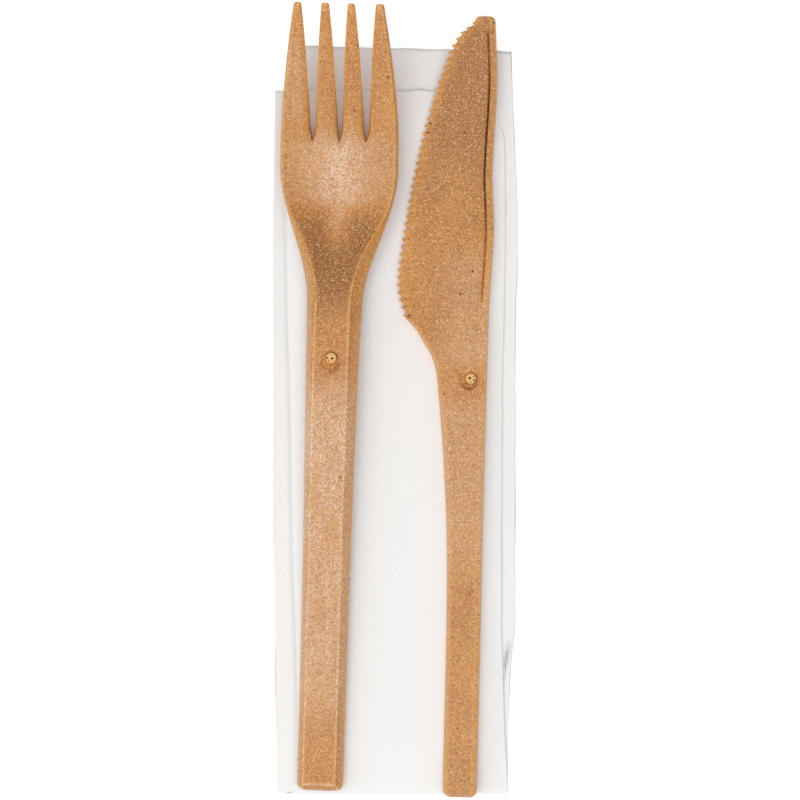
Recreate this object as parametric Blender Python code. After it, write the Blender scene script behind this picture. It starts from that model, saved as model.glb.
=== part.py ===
"""A fork, a knife and the folded paper napkin they lie on.

X runs to the right, Y from the handle ends to the tips, Z up.
The origin is on the table, under the middle of the set.
"""
import math

import bmesh
import bpy
from mathutils import Matrix, Vector

MM = 0.001
TOUCH = 0.3 * MM                   # gap kept between two pieces that touch

# Napkin: a strip six leaves thick, folded over once near the handle ends
NAPKIN_WIDTH = 46.6 * MM
NAPKIN_UNDER_LENGTH = 157.3 * MM   # the half that lies on the table
NAPKIN_OVER_LENGTH = 148.0 * MM    # the half folded back on top of it
NAPKIN_LEFT = 0.5 * MM             # how far the strip lies left of the middle
NAPKIN_SHIFT = 2.6 * MM            # how far the under half lies to the right of the other
NAPKIN_LEAF = 0.2 * MM             # one leaf of tissue with the air under it
NAPKIN_PRESSED = 0.05 * MM         # how far the two halves press into each other
NAPKIN_LEAVES = 6                  # leaves in each half
NAPKIN_CREASE = 0.35 * MM          # how far the groove between two folds goes in
NAPKIN_SWELL_LEFT = 0.7 * MM       # how far the long edges bow out halfway up
NAPKIN_SWELL_RIGHT = 1.6 * MM
NAPKIN_BELOW = 1.3 * MM            # how far its fold passes the fork's end

# Fork, seen from above
FORK_HANDLE = 102.0 * MM           # end to where the head starts to swell
FORK_SWELL = 28.5 * MM             # length over which the head swells
FORK_PLATE = 5.3 * MM              # full width, up to the roots of the tines
FORK_TINES = 28.6 * MM             # roots to tips
FORK_END_WIDTH = 9.7 * MM
FORK_NECK_WIDTH = 11.6 * MM
FORK_HEAD_WIDTH = 24.5 * MM
FORK_TIPS_WIDTH = 18.8 * MM
FORK_END_CORNER = 1.5 * MM
FORK_FLANK_END = 1.35 * MM         # sloping side of the handle, seen from above
FORK_FLANK_NECK = 2.1 * MM
FORK_FLANK_HEAD = 0.3 * MM
FORK_RIDGE = 0.4 * MM              # rounding between the top and a flank

# Fork, seen from the side
FORK_WALL = 1.7 * MM
FORK_TIP_WALL = 1.2 * MM
FORK_END_HEIGHT = 3.0 * MM         # handle's channel, top to open edge
FORK_NECK_HEIGHT = 4.2 * MM
FORK_END_LIFT = 0.3 * MM           # open edge above the napkin at the end
FORK_NECK_LIFT = 3.4 * MM          # the same at the crest of its arch
FORK_CREST = 88.0 * MM             # the arch is highest here, measured from the end
FORK_CREST_DROP = 0.6 * MM         # how far it has come down where the head starts
FORK_RIM_LOW = 4.9 * MM            # rim of the bowl at its lowest
FORK_RIM_ROOTS = 5.4 * MM
FORK_TIP_HEIGHT = 14.0 * MM
FORK_DISH = 3.0 * MM               # floor of the bowl below its rim
FORK_DISH_ROOTS = 1.5 * MM
FORK_DISH_TIPS = 0.2 * MM
FORK_END_LAND = 0.5 * MM           # upright part of the handle's end
FORK_ROLL = math.radians(-5.5)     # it lies tipped a little to the left

# Slots between the tines
SLOT_COUNT = 3
SLOT_PITCH = 5.65 * MM
SLOT_WAIST = 1.5 * MM              # width above the pointed root
SLOT_MOUTH = 4.2 * MM              # width at the tips
SLOT_MOUTH_MIDDLE = 3.7 * MM       # the same for the slot in the middle
SLOT_ROOT = 3.8 * MM               # length of the pointed root
TINE_ROUND = 0.6 * MM              # rounding of each tine's tip

# Knife, seen from above, measured from a line up the middle of its handle
KNIFE_HANDLE = 100.7 * MM          # end to the heel of the blade
KNIFE_BLADE = 63.3 * MM            # heel to tip
KNIFE_END_WIDTH = 7.2 * MM
KNIFE_WAIST = 10.6 * MM            # handle's width where it meets the heel
KNIFE_HEEL = 15.4 * MM             # corner of the heel, left of the line
KNIFE_BELLY = 17.1 * MM            # widest part of the edge, left of the line
KNIFE_BACK = 2.7 * MM              # back of the blade, right of the line
KNIFE_NOTCH = 0.6 * MM             # how far the back wanders in and out
KNIFE_TIP = 4.2 * MM               # width where the blunt tip starts to round off
KNIFE_TIP_ROUND = 1.0 * MM
KNIFE_END_CORNER = 1.5 * MM
KNIFE_FLANK_LEFT = 0.75 * MM
KNIFE_FLANK_RIGHT = 0.5 * MM

# Knife, seen from the side
KNIFE_HEIGHT = 2.8 * MM            # handle's channel, top to open edge
KNIFE_WALL = 1.5 * MM
KNIFE_FACE = 1.4 * MM              # thickness of the blade
KNIFE_RAMP = 16.0 * MM             # length over which blade climbs to handle
KNIFE_EDGE = 0.8 * MM              # thickness along the teeth
KNIFE_BEVEL = 1.3 * MM             # width of the slope behind the teeth
KNIFE_RIB = 1.4 * MM               # width of the raised band along the back
KNIFE_RIB_RISE = 0.5 * MM
KNIFE_RIB_STEP = 0.25 * MM
KNIFE_GROOVE = 0.3 * MM            # width of the groove along the foot of that band
KNIFE_GROOVE_DEPTH = 0.25 * MM
TOOTH_PITCH = 1.6 * MM
TOOTH_DEPTH = 0.85 * MM            # gullets are cut straight across the blade

# Moulding gate: a round well with the broken stub standing in it
GATE_WELL = 2.0 * MM               # radius
GATE_STUB = 1.15 * MM              # radius
GATE_DEPTH = 0.9 * MM
GATE_STUB_SUNK = 0.15 * MM         # stub below the face round the well
FORK_GATE = 90.3 * MM              # from the handle's end
KNIFE_GATE = 87.4 * MM
KNIFE_GATE_LEFT = 1.1 * MM

# How the pieces lie
FORK_LEFT = 15.9 * MM              # handle's end, left of the middle
FORK_TURN = math.radians(-1.9)
KNIFE_RIGHT = 13.4 * MM            # handle's end, right of the middle
KNIFE_TURN = math.radians(-2.0)
KNIFE_BELOW = 1.5 * MM             # how far the knife's end passes the fork's

BRAN = "C08552"                    # plastic filled with ground wood
TISSUE = "F3F2EE"


def clear_scene():
    for item in list(bpy.data.objects):
        bpy.data.objects.remove(item, do_unlink=True)


def surface(name, colour, roughness):
    """A Principled material from an sRGB colour written in hex."""
    made = bpy.data.materials.new(name)
    made.use_nodes = True
    channels = [int(colour[i:i + 2], 16) / 255 for i in (0, 2, 4)]
    linear = [c / 12.92 if c <= 0.04045 else ((c + 0.055) / 1.055) ** 2.4 for c in channels]
    shader = made.node_tree.nodes["Principled BSDF"]
    shader.inputs["Base Color"].default_value = (*linear, 1.0)
    shader.inputs["Roughness"].default_value = roughness
    shader.inputs["Metallic"].default_value = 0.0
    return made


def ease(start, length, at):
    """0 before start, 1 after start + length, with a level run-out at both ends."""
    s = min(max((at - start) / length, 0.0), 1.0)
    return s * s * (3.0 - 2.0 * s)


def spline(points):
    """A smooth curve through (place, value) points that never overshoots them."""
    count = len(points)
    steps = [points[i + 1][0] - points[i][0] for i in range(count - 1)]
    rises = [(points[i + 1][1] - points[i][1]) / steps[i] for i in range(count - 1)]
    slopes = [rises[0]] + [0.0] * (count - 2) + [rises[-1]]
    for i in range(1, count - 1):
        before, after = rises[i - 1], rises[i]
        if before * after > 0:
            slopes[i] = 2.0 * before * after / (before + after)

    def value(at):
        at = min(max(at, points[0][0]), points[-1][0])
        i = 0
        while i < count - 2 and at > points[i + 1][0]:
            i += 1
        s = (at - points[i][0]) / steps[i]
        fall = 2 * s ** 3 - 3 * s ** 2 + 1
        lead = (s ** 3 - 2 * s ** 2 + s) * steps[i] * slopes[i]
        trail = (s ** 3 - s ** 2) * steps[i] * slopes[i + 1]
        return points[i][1] * fall + points[i + 1][1] * (1 - fall) + lead + trail

    return value


def spaced(start, end, count):
    """count + 1 places from start to end."""
    return [start + (end - start) * i / count for i in range(count + 1)]


def add_object(name, mesh, material):
    made = bpy.data.objects.new(name, mesh)
    bpy.context.collection.objects.link(made)
    if material:
        made.data.materials.append(material)
    return made


def loft(name, loops, material):
    """A closed body through loops of points, with a flat cap at each end."""
    shape = bmesh.new()
    rings = [[shape.verts.new(point) for point in loop] for loop in loops]
    count = len(rings[0])
    for near, far in zip(rings, rings[1:]):
        for i in range(count):
            j = (i + 1) % count
            shape.faces.new((near[i], near[j], far[j], far[i]))
    shape.faces.new(list(reversed(rings[0])))
    shape.faces.new(rings[-1])
    bmesh.ops.recalc_face_normals(shape, faces=shape.faces)
    mesh = bpy.data.meshes.new(name)
    shape.to_mesh(mesh)
    shape.free()
    return add_object(name, mesh, material)


def prism(name, outline, low, high):
    """An upright block on an outline of (x, y) points."""
    loops = [[Vector((x, y, z)) for x, y in outline] for z in (low, high)]
    return loft(name, loops, None)


def cut(body, cutter):
    """Take the cutter out of the body, and ride the cutter on the body."""
    cutter.parent = body
    cutter.hide_render = True
    cutter.display_type = "WIRE"
    modifier = body.modifiers.new(cutter.name, "BOOLEAN")
    modifier.operation = "DIFFERENCE"
    modifier.solver = "EXACT"
    modifier.object = cutter


def gate_cutter(name, x, y, face):
    """What is missing round a gate: a dished well with a stub left in it."""
    profile = [
        (0.0, GATE_WELL),
        (GATE_WELL * 1.05, GATE_WELL),
        (GATE_WELL, 0.0),
        (GATE_WELL * 0.9, -GATE_DEPTH),
        (GATE_STUB * 1.06, -GATE_DEPTH),
        (GATE_STUB, -GATE_STUB_SUNK),
        (0.0, -GATE_STUB_SUNK),
    ]
    shape = bmesh.new()
    verts = [shape.verts.new((r, 0.0, z)) for r, z in profile]
    edges = [shape.edges.new(pair) for pair in zip(verts, verts[1:])]
    bmesh.ops.spin(shape, geom=verts + edges, axis=(0, 0, 1), cent=(0, 0, 0),
                   angle=math.tau, steps=24, use_merge=True)
    bmesh.ops.remove_doubles(shape, verts=shape.verts, dist=0.001 * MM)
    bmesh.ops.recalc_face_normals(shape, faces=shape.faces)
    bmesh.ops.translate(shape, verts=shape.verts, vec=(x, y, face))
    mesh = bpy.data.meshes.new(name)
    shape.to_mesh(mesh)
    shape.free()
    return add_object(name, mesh, None)


def end_corner(at, corner):
    """How much narrower each side is, near a handle's rounded end."""
    if at >= corner:
        return 0.0
    return corner - math.sqrt(corner ** 2 - (corner - at) ** 2)


# Fork

FORK_BOWL = FORK_HANDLE + FORK_SWELL * 0.74       # deepest part of the bowl
FORK_ROOTS = FORK_HANDLE + FORK_SWELL + FORK_PLATE
FORK_LENGTH = FORK_ROOTS + FORK_TINES
SWELL_POWER = 1.6                                 # how the tines draw in to the tips
HANDLE_POWER = 2.4                                # how the handle widens to the neck


def fork_half_width(at):
    if at <= FORK_HANDLE:
        share = (at / FORK_HANDLE) ** HANDLE_POWER
        width = FORK_END_WIDTH + (FORK_NECK_WIDTH - FORK_END_WIDTH) * share
    elif at <= FORK_ROOTS:
        share = ease(FORK_HANDLE, FORK_SWELL, at)
        width = FORK_NECK_WIDTH + (FORK_HEAD_WIDTH - FORK_NECK_WIDTH) * share
    else:
        share = ((at - FORK_ROOTS) / FORK_TINES) ** SWELL_POWER
        width = FORK_HEAD_WIDTH - (FORK_HEAD_WIDTH - FORK_TIPS_WIDTH) * share
    half = width / 2 - end_corner(at, FORK_END_CORNER)
    return half - end_corner(FORK_LENGTH - at, TINE_ROUND)


def fork_flank(at):
    share = min(at / FORK_HANDLE, 1.0) ** HANDLE_POWER
    flank = FORK_FLANK_END + (FORK_FLANK_NECK - FORK_FLANK_END) * share
    fade = ease(FORK_HANDLE + FORK_SWELL * 0.3, FORK_SWELL * 0.5, at)
    return flank + (FORK_FLANK_HEAD - flank) * fade


fork_rim = spline([
    (0.0, FORK_END_LIFT + FORK_END_HEIGHT),
    (FORK_CREST * 0.5, (FORK_END_LIFT + FORK_END_HEIGHT + FORK_NECK_LIFT + FORK_NECK_HEIGHT) / 2),
    (FORK_CREST, FORK_NECK_LIFT + FORK_NECK_HEIGHT),
    (FORK_HANDLE, FORK_NECK_LIFT + FORK_NECK_HEIGHT - FORK_CREST_DROP),
    (FORK_BOWL, FORK_RIM_LOW),
    (FORK_ROOTS, FORK_RIM_ROOTS),
    (FORK_LENGTH, FORK_TIP_HEIGHT),
])

fork_dish = spline([
    (FORK_HANDLE - FORK_SWELL * 0.15, 0.0),
    (FORK_BOWL - FORK_SWELL * 0.1, FORK_DISH),
    (FORK_BOWL + FORK_SWELL * 0.1, FORK_DISH),
    (FORK_ROOTS, FORK_DISH_ROOTS),
    (FORK_LENGTH, FORK_DISH_TIPS),
])

fork_depth = spline([
    (0.0, FORK_END_HEIGHT),
    (FORK_HANDLE, FORK_NECK_HEIGHT),
    (FORK_BOWL, FORK_WALL),
    (FORK_ROOTS, FORK_WALL),
    (FORK_LENGTH, FORK_TIP_WALL),
])


def fork_wall(at):
    share = max(at - FORK_ROOTS, 0.0) / FORK_TINES
    return FORK_WALL + (FORK_TIP_WALL - FORK_WALL) * share


def fork_section(at, columns=5):
    """The fork cut across: a tray upside down in the handle, a dish in the head."""
    half = fork_half_width(at)
    flank = fork_flank(at)
    depth = fork_depth(at)
    wall = fork_wall(at)
    rim = fork_rim(at)
    foot = rim - depth
    if at < FORK_FLANK_END:                       # the end wall slopes like a flank
        share = at / FORK_FLANK_END
        depth = FORK_END_LAND + (depth - FORK_END_LAND) * share
        flank = flank * depth / FORK_END_HEIGHT
        rim = foot + depth
    ridge = half - flank
    dish = fork_dish(at)
    hollow = ease(FORK_WALL, FORK_WALL, at) * (depth - wall) if depth > wall else 0.0

    def top(u):
        return rim - dish * (1.0 - (u / ridge) ** 2)

    slope = Vector((flank, -depth)).normalized() * FORK_RIDGE
    over = [(ridge * i / columns, top(ridge * i / columns)) for i in range(columns)]
    over += [
        (ridge - FORK_RIDGE, top(ridge - FORK_RIDGE)),
        (ridge + 0.3 * (slope.x - FORK_RIDGE), rim + 0.3 * slope.y),
        (ridge + slope.x, rim + slope.y),
        (half, foot),
    ]
    roof = ridge - FORK_WALL * 0.75
    lip = roof + flank * max(hollow / depth, 0.03)
    under = [(lip, foot)]
    for i in range(columns, -1, -1):
        u = roof * i / columns
        lowered = top(u) - wall if dish > 0.0 or hollow > 0.0 else foot
        under.append((u, min(lowered, foot + hollow) if at < FORK_HANDLE / 2 else lowered))
    right = over + under
    left = [(-u, z) for u, z in reversed(right[1:-1])]
    return [Vector((u, at, z)) for u, z in right + left]


def slot_outline(centre, mouth):
    """One slot between two tines: pointed root, narrow waist, mouth with round tips."""
    def half(run):
        if run <= SLOT_ROOT:
            return SLOT_WAIST / 2 * math.sin(math.pi / 2 * run / SLOT_ROOT)
        share = (run - SLOT_ROOT) / (FORK_TINES - SLOT_ROOT)
        opened = SLOT_WAIST + (mouth - SLOT_WAIST) * share ** 1.3
        return opened / 2 + end_corner(FORK_TINES - run, TINE_ROUND)

    runs = spaced(0.0, SLOT_ROOT, 4)
    runs += spaced(SLOT_ROOT, FORK_TINES - TINE_ROUND, 8)[1:]
    runs += [FORK_TINES - TINE_ROUND * (1 - math.sin(math.radians(a))) for a in (30, 60)]
    runs += [FORK_TINES]
    right = [(centre + half(run), FORK_ROOTS + run) for run in runs]
    right.append((right[-1][0], FORK_LENGTH + SLOT_WAIST))
    left = [(2 * centre - x, y) for x, y in reversed(right[1:])]
    return right + left


def build_fork(material):
    places = spaced(0.0, FORK_FLANK_END, 5)
    places += spaced(FORK_FLANK_END, 2 * FORK_WALL, 4)[1:]
    places += spaced(2 * FORK_WALL, FORK_HANDLE - FORK_SWELL * 0.15, 9)[1:]
    places += spaced(FORK_HANDLE - FORK_SWELL * 0.15, FORK_ROOTS, 16)[1:]
    places += spaced(FORK_ROOTS, FORK_LENGTH - TINE_ROUND, 7)[1:]
    places += [FORK_LENGTH - TINE_ROUND * (1 - math.sin(math.radians(a))) for a in (30, 60)]
    places += [FORK_LENGTH]
    fork = loft("fork", [fork_section(at) for at in places], material)
    first = -(SLOT_COUNT - 1) / 2 * SLOT_PITCH
    for i in range(SLOT_COUNT):
        mouth = SLOT_MOUTH_MIDDLE if i == SLOT_COUNT // 2 else SLOT_MOUTH
        outline = slot_outline(first + i * SLOT_PITCH, mouth)
        cut(fork, prism(f"fork_slot_{i + 1}", outline, -FORK_WALL, 2 * FORK_TIP_HEIGHT))
    cut(fork, gate_cutter("fork_gate", 0.0, FORK_GATE, fork_rim(FORK_GATE)))
    return fork


# Knife

KNIFE_LENGTH = KNIFE_HANDLE + KNIFE_BLADE

knife_back = spline([
    (0.0, KNIFE_END_WIDTH / 2),
    (KNIFE_HANDLE * 0.6, KNIFE_END_WIDTH / 2 * 0.8),
    (KNIFE_HANDLE, KNIFE_BACK - KNIFE_NOTCH * 0.35),
    (KNIFE_HANDLE + KNIFE_BLADE * 0.28, KNIFE_BACK + KNIFE_NOTCH * 0.6),
    (KNIFE_HANDLE + KNIFE_BLADE * 0.49, KNIFE_BACK - KNIFE_NOTCH * 0.8),
    (KNIFE_HANDLE + KNIFE_BLADE * 0.76, KNIFE_BACK),
    (KNIFE_LENGTH, KNIFE_BACK - KNIFE_NOTCH * 1.5),
])

knife_grip = spline([
    (0.0, KNIFE_END_WIDTH / 2),
    (KNIFE_HANDLE * 0.42, KNIFE_END_WIDTH / 2 + KNIFE_WAIST * 0.05),
    (KNIFE_HANDLE * 0.88, KNIFE_WAIST - KNIFE_BACK),
    (KNIFE_HANDLE * 0.925, KNIFE_WAIST - KNIFE_BACK + (KNIFE_HEEL - KNIFE_WAIST) * 0.33),
    (KNIFE_HANDLE * 0.95, KNIFE_WAIST - KNIFE_BACK + (KNIFE_HEEL - KNIFE_WAIST) * 0.78),
    (KNIFE_HANDLE, KNIFE_HEEL),
])

knife_edge = spline([
    (KNIFE_HANDLE, KNIFE_HEEL),
    (KNIFE_HANDLE + KNIFE_BLADE * 0.10, KNIFE_BELLY),
    (KNIFE_HANDLE + KNIFE_BLADE * 0.30, KNIFE_BELLY * 0.93),
    (KNIFE_HANDLE + KNIFE_BLADE * 0.55, KNIFE_BELLY * 0.785),
    (KNIFE_HANDLE + KNIFE_BLADE * 0.845, KNIFE_BELLY * 0.504),
    (KNIFE_HANDLE + KNIFE_BLADE * 0.94, KNIFE_BELLY * 0.339),
    (KNIFE_LENGTH - KNIFE_TIP_ROUND, KNIFE_TIP - KNIFE_BACK + KNIFE_NOTCH * 1.5),
])


def edge_walk(step=0.05 * MM):
    """Points one tooth pitch apart along the smooth line of the edge."""
    found = [Vector((-knife_edge(KNIFE_HANDLE), KNIFE_HANDLE))]
    last = found[0]
    gone = 0.0
    at = KNIFE_HANDLE
    while at + step < KNIFE_LENGTH - KNIFE_TIP_ROUND:
        at += step
        point = Vector((-knife_edge(at), at))
        gone += (point - last).length
        last = point
        if gone >= TOOTH_PITCH:
            gone = 0.0
            found.append(point)
    return found


def toothed_edge():
    """Tips of the teeth with a gullet between each two."""
    tips = edge_walk()
    points = []
    for tip, following in zip(tips, tips[1:]):
        points.append(tip)
        points.append((tip + following) / 2 + Vector((TOOTH_DEPTH, 0.0)))
    points.append(tips[-1])
    return points


def knife_face(at):
    """Height of the flat face, and the rise of the band along the back."""
    down = ease(KNIFE_HANDLE - KNIFE_RAMP / 2, KNIFE_RAMP, at)
    top = KNIFE_HEIGHT + (KNIFE_FACE - KNIFE_HEIGHT) * down
    return top, max(KNIFE_FACE + KNIFE_RIB_RISE - top, 0.0)


def knife_row(left, right, top, lip, bevel, rib, roof):
    """The knife cut across from its left side to its right, as one closed loop.

    top is the height of the face, lip that of the left side's upper corner,
    bevel the width of the slope behind it, rib the rise of the band along the
    back, and roof the height of the channel underneath.
    """
    width = (right - left).length
    side = min(KNIFE_WALL * 0.8, width * 0.3)
    slack = min(KNIFE_WALL * 0.15, width * 0.05)
    left_flank = min(bevel, width * 0.3)
    right_flank = min(KNIFE_FLANK_RIGHT * (top + rib) / KNIFE_HEIGHT, width * 0.1)
    band = min(KNIFE_RIB, width * 0.35)
    step = min(KNIFE_RIB_STEP, width * 0.1)
    groove = min(KNIFE_GROOVE, width * 0.1)
    sunk = KNIFE_GROOVE_DEPTH * min(rib / KNIFE_RIB_RISE, 1.0)
    face_end = width - band - step - groove
    inner_left = min(side + slack, width * 0.4)
    lip_in = left_flank if lip >= top else slack * 0.3
    face_in = left_flank + slack
    marks = [
        (0.0, 0.0),
        (lip_in, lip),
        (face_in, top),
        ((face_in + face_end) / 2, top),
        (face_end, top),
        (width - band - step, top - sunk),
        (width - band, top + rib),
        (width - right_flank, top + rib),
        (width, 0.0),
        (width - side, 0.0),
        (width - inner_left, roof),
        (width / 2, roof),
        (inner_left, roof),
        (side, 0.0),
    ]
    across = (right - left).normalized()
    return [Vector((*(left + across * run), height)) for run, height in marks]


def knife_handle_rows():
    rows = []
    places = spaced(0.0, KNIFE_FLANK_LEFT, 4)
    places += spaced(KNIFE_FLANK_LEFT, 2 * KNIFE_WALL, 4)[1:]
    places += spaced(2 * KNIFE_WALL, KNIFE_HANDLE * 0.84, 10)[1:]
    places += spaced(KNIFE_HANDLE * 0.84, KNIFE_HANDLE - TOOTH_DEPTH, 14)[1:]
    for at in places:
        corner = end_corner(at, KNIFE_END_CORNER)
        left = Vector((-knife_grip(at) + corner, at))
        right = Vector((knife_back(at) - corner, at))
        share = min(0.2 + 0.8 * at / KNIFE_FLANK_LEFT, 1.0)
        top, rib = knife_face(at)
        hollow = ease(KNIFE_WALL, KNIFE_WALL, at) - ease(KNIFE_HANDLE * 0.78, KNIFE_WALL * 4, at)
        roof = (KNIFE_HEIGHT - KNIFE_WALL) * max(hollow, 0.0)
        flank = KNIFE_FLANK_LEFT * share
        rows.append(knife_row(left, right, top * share, top * share, flank, rib, roof))
    return rows


def knife_blade_rows():
    rows = []
    for point in toothed_edge():
        at = point.y
        back = Vector((knife_back(at), at))
        top, rib = knife_face(at)
        blend = ease(KNIFE_HANDLE, TOOTH_PITCH * 2, at)
        lip = top + (KNIFE_EDGE - top) * blend
        bevel = KNIFE_FLANK_LEFT + (KNIFE_BEVEL - KNIFE_FLANK_LEFT) * blend
        root = -knife_edge(at) + TOOTH_DEPTH      # line that the gullets end on
        bevel += max(root - point.x, 0.0) * blend
        rows.append(knife_row(point, back, top, lip, bevel, rib, 0.0))
    return rows


def knife_tip_rows():
    rows = []
    start = KNIFE_LENGTH - KNIFE_TIP_ROUND
    for angle in (0, 30, 60, 90):
        at = start + KNIFE_TIP_ROUND * math.sin(math.radians(angle))
        corner = KNIFE_TIP_ROUND * (1 - math.cos(math.radians(angle)))
        left = Vector((-knife_edge(start) + corner, at))
        right = Vector((knife_back(start) - corner, at))
        top, rib = knife_face(at)
        rows.append(knife_row(left, right, top, KNIFE_EDGE, KNIFE_BEVEL, rib, 0.0))
    return rows


def build_knife(material):
    rows = knife_handle_rows() + knife_blade_rows() + knife_tip_rows()
    knife = loft("knife", rows, material)
    cut(knife, gate_cutter("knife_gate", -KNIFE_GATE_LEFT, KNIFE_GATE, KNIFE_HEIGHT))
    return knife


# Napkin

NAPKIN_HALF = NAPKIN_LEAF * NAPKIN_LEAVES         # thickness of one half
NAPKIN_FOLD_LAND = 0.3                            # upright share of the fold's rounding


def folded_side(edge, outward, low, high):
    """The side of one half: a nose where each pair of leaves turns back."""
    folds = NAPKIN_LEAVES // 2
    thick = (high - low) / folds
    points = [(edge - outward * NAPKIN_CREASE, low)]
    for i in range(folds):
        bottom = low + i * thick
        points.append((edge, bottom + thick * 0.3))
        points.append((edge, bottom + thick * 0.7))
        points.append((edge - outward * NAPKIN_CREASE, bottom + thick))
    return points


def napkin_half(name, middle, low, ends, material):
    """One half of the strip, as a body with its folds along both long sides."""
    near, far = ends
    high = low + NAPKIN_HALF
    nose = NAPKIN_HALF
    places = [near + nose * (1 - math.cos(math.radians(a))) for a in (0, 30, 60, 90)]
    places += spaced(near + nose, far, 11)[1:]
    loops = []
    for at in places:
        wave = math.sin(math.pi * (at - near) / (far - near))
        half = NAPKIN_WIDTH / 2
        fold_height = NAPKIN_HALF                 # the two halves turn about this height
        turned = min(max(near + nose - at, 0.0) / nose, 1.0)
        pinch = max(math.sqrt(1 - turned ** 2), NAPKIN_FOLD_LAND)
        right = folded_side(middle + half + NAPKIN_SWELL_RIGHT * wave, 1.0, low, high)
        left = folded_side(middle - half - NAPKIN_SWELL_LEFT * wave, -1.0, low, high)
        loop = right + list(reversed(left))
        loops.append([Vector((x, at, fold_height + (z - fold_height) * pinch)) for x, z in loop])
    return loft(name, loops, material)


def build_napkin(material, near):
    under = napkin_half("napkin", NAPKIN_SHIFT / 2 - NAPKIN_LEFT, 0.0,
                        (near, near + NAPKIN_UNDER_LENGTH), material)
    over = napkin_half("napkin_over", -NAPKIN_SHIFT / 2 - NAPKIN_LEFT, NAPKIN_HALF - NAPKIN_PRESSED,
                       (near, near + NAPKIN_OVER_LENGTH), None)
    over.parent = under
    over.hide_render = True
    over.display_type = "WIRE"
    joined = under.modifiers.new("over", "BOOLEAN")
    joined.operation = "UNION"
    joined.solver = "EXACT"
    joined.object = over
    return under


def lay(piece, x, y, turn, roll, on):
    """Turn a piece, and set it down with its lowest point at the height given."""
    spin = Matrix.Rotation(turn, 4, "Z") @ Matrix.Rotation(roll, 4, "Y")
    lowest = min((spin @ vert.co).z for vert in piece.data.vertices)
    piece.matrix_world = Matrix.Translation((x, y, on - lowest)) @ spin


def main():
    clear_scene()
    bran = surface("wood_filled_plastic", BRAN, 0.5)
    tissue = surface("tissue_paper", TISSUE, 0.9)
    fork_end = -(FORK_LENGTH * math.cos(FORK_TURN) - KNIFE_BELOW) / 2
    napkin_top = 2 * NAPKIN_HALF - NAPKIN_PRESSED
    build_napkin(tissue, fork_end - NAPKIN_BELOW)
    lay(build_fork(bran), -FORK_LEFT, fork_end, FORK_TURN, FORK_ROLL, napkin_top + TOUCH)
    lay(build_knife(bran), KNIFE_RIGHT, fork_end - KNIFE_BELOW, KNIFE_TURN, 0.0,
        napkin_top + TOUCH)


main()
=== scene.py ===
import math

import bmesh
import bpy
from mathutils import Matrix, Vector, noise


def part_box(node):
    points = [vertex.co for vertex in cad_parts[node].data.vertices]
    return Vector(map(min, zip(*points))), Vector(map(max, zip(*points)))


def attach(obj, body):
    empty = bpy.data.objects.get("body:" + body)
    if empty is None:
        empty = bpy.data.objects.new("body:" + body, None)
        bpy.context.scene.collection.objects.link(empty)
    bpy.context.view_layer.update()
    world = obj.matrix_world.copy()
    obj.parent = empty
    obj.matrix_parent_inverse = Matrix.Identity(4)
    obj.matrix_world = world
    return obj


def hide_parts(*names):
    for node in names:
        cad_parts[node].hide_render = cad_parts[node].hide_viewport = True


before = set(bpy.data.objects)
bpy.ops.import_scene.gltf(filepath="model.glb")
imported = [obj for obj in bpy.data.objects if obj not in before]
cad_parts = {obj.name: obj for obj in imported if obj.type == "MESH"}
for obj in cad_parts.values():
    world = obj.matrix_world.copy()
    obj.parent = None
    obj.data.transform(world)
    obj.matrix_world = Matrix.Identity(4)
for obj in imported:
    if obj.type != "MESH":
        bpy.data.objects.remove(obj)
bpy.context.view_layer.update()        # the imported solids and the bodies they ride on
mm = 0.001


# Curves that the pieces share

def ease(start, length, at):
    # 0 before start, 1 after start + length, level at both ends
    s = min(max((at - start) / length, 0.0), 1.0)
    return s * s * (3.0 - 2.0 * s)


def mix(a, b, share):
    return a + (b - a) * share


def curveThrough(points):
    # a smooth curve through (place, value) points that never overshoots them
    count = len(points)
    steps = [points[i + 1][0] - points[i][0] for i in range(count - 1)]
    rises = [(points[i + 1][1] - points[i][1]) / steps[i] for i in range(count - 1)]
    slopes = [rises[0]] + [0.0] * (count - 2) + [rises[-1]]
    for i in range(1, count - 1):
        before, after = rises[i - 1], rises[i]
        if before * after > 0:
            slopes[i] = 2.0 * before * after / (before + after)

    def value(at):
        at = min(max(at, points[0][0]), points[-1][0])
        i = 0
        while i < count - 2 and at > points[i + 1][0]:
            i += 1
        s = (at - points[i][0]) / steps[i]
        fall = 2 * s ** 3 - 3 * s ** 2 + 1
        lead = (s ** 3 - 2 * s ** 2 + s) * steps[i] * slopes[i]
        trail = (s ** 3 - s ** 2) * steps[i] * slopes[i + 1]
        return points[i][1] * fall + points[i + 1][1] * (1 - fall) + lead + trail

    return value


def spaced(start, end, count):
    return [mix(start, end, i / count) for i in range(count + 1)]


def roundOff(at, corner):
    # how far each side draws in near a rounded end
    if at >= corner:
        return 0.0
    return corner - math.sqrt(corner ** 2 - (corner - max(at, 0.0)) ** 2)


# Materials

def linear(hexColour):
    channels = [int(hexColour[i:i + 2], 16) / 255 for i in (0, 2, 4)]
    return [c / 12.92 if c <= 0.04045 else ((c + 0.055) / 1.055) ** 2.4 for c in channels] + [1.0]


def addNode(tree, kind, inputs=None, **settings):
    node = tree.nodes.new(kind)
    for name, value in settings.items():
        setattr(node, name, value)
    for socket, value in (inputs or {}).items():
        if isinstance(value, bpy.types.NodeSocket):
            tree.links.new(value, node.inputs[socket])
        else:
            node.inputs[socket].default_value = value
    return node


def newMaterial(name):
    made = bpy.data.materials.new(name)
    made.use_nodes = True
    made.node_tree.nodes.clear()
    return made, made.node_tree


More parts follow.
